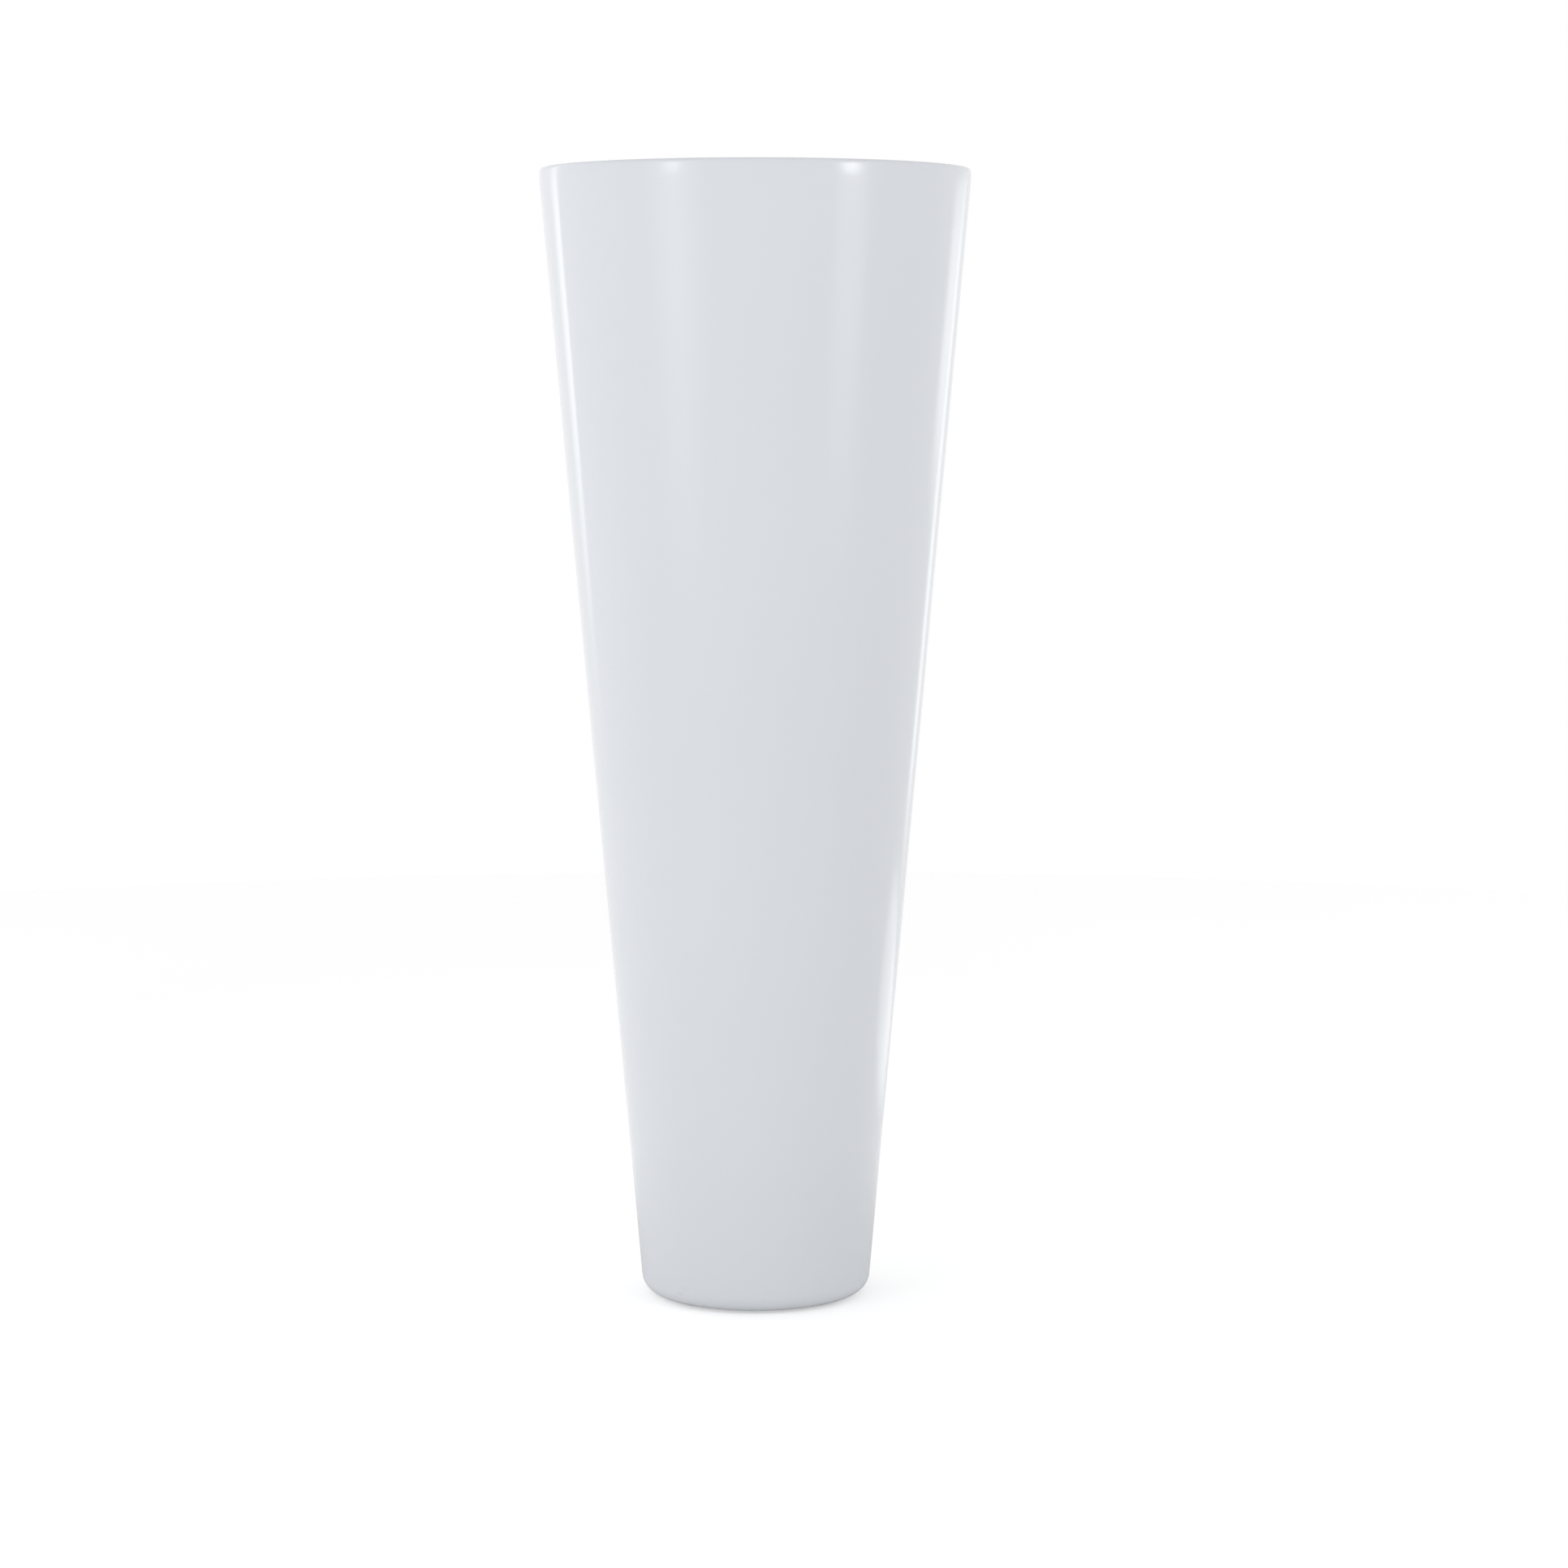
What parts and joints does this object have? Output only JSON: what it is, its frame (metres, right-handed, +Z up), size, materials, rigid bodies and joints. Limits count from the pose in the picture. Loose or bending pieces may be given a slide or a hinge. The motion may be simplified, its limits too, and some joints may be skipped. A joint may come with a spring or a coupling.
{
  "type": "fibreglass floor vase",
  "caption": "Tall tapered round floor vase in glossy white fibreglass, with a turned-in rim, a rounded ballasted foot and a lift-out planting liner with folding wire handles.",
  "frame": {"origin": "on the floor under the foot pads, on the vase's own axis", "axes": "+Z up along the vase's axis, X across the hinge lines of the two handles, Y along them"},
  "size_m": [0.379, 0.379, 1],
  "materials": {
    "gelcoat": "gloss white gelcoat over hand-laid fibreglass",
    "raw_laminate": "bare fibreglass laminate",
    "concrete": "cast concrete",
    "rubber": "moulded black rubber",
    "liner_plastic": "satin black moulded polypropylene",
    "handle_wire": "drawn stainless wire"
  },
  "bodies": {
    "vase": {"shell": "gelcoat", "base_plate": "raw_laminate", "foot_pads": "rubber", "ballast_ring": "concrete", "liner_ledge": "raw_laminate"},
    "drain_plug": {"drain_plug": "rubber"},
    "liner": {"liner": "liner_plastic"},
    "right_handle": {"right_handle": "handle_wire"},
    "left_handle": {"left_handle": "handle_wire"}
  },
  "joints": [
    {"name": "liner_lift", "type": "slide", "parent": "vase", "child": "liner", "axis": [0, 0, 1], "range_m": [0, 0.4]},
    {"name": "right_handle_fold", "type": "hinge", "parent": "liner", "child": "right_handle", "pos_m": [0.022, 0, 0.9613], "axis": [0, -1, 0], "range_deg": [0, 95]},
    {"name": "left_handle_fold", "type": "hinge", "parent": "liner", "child": "left_handle", "pos_m": [-0.022, 0, 0.9613], "axis": [0, 1, 0], "range_deg": [0, 95]},
    {"name": "drain_plug_pull", "type": "slide", "parent": "vase", "child": "drain_plug", "axis": [0, 0, -1], "range_m": [0, 0.03]}
  ]
}
